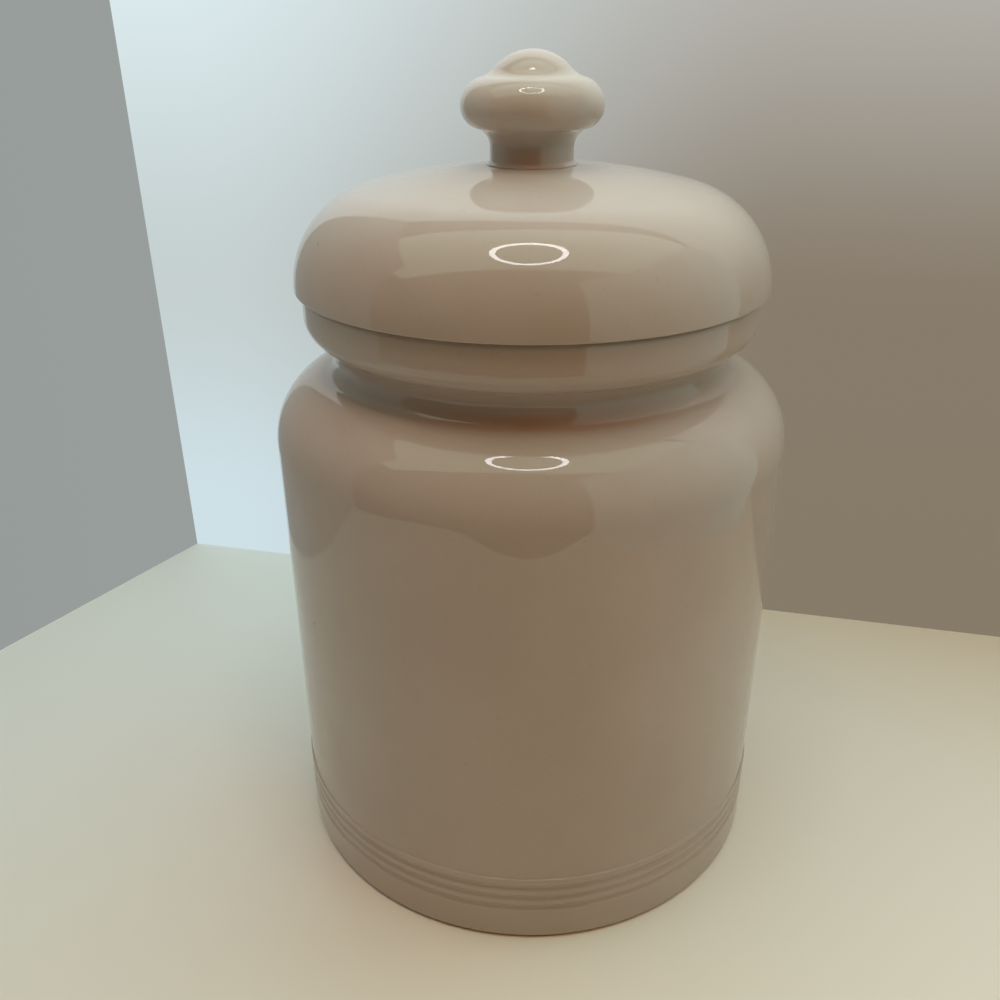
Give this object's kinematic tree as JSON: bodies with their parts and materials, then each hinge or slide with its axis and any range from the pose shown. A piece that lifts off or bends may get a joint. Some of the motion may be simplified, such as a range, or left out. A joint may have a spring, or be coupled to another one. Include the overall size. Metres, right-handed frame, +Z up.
{
  "type": "biscuit jar",
  "caption": "Glazed ceramic biscuit jar: straight body with incised foot rings, waisted neck and a lift-off domed lid with a mushroom knob.",
  "frame": {"origin": "centre of the foot, on the surface that the jar stands on", "axes": "+Z up along the jar's axis of turning, through the knob"},
  "size_m": [0.1324, 0.1324, 0.208],
  "materials": {
    "jar_glaze": "clear gloss glaze over off-white body, bare foot ring",
    "lid_glaze": "clear gloss glaze over off-white body, bare seat ring",
    "knob_glaze": "clear gloss glaze over off-white body"
  },
  "bodies": {
    "jar": {"jar": "jar_glaze"},
    "lid": {"lid": "lid_glaze", "knob": "knob_glaze"}
  },
  "joints": [
    {"name": "lid_lift", "type": "slide", "parent": "jar", "child": "lid", "axis": [0, 0, 1], "range_m": [0, 0.06]}
  ]
}
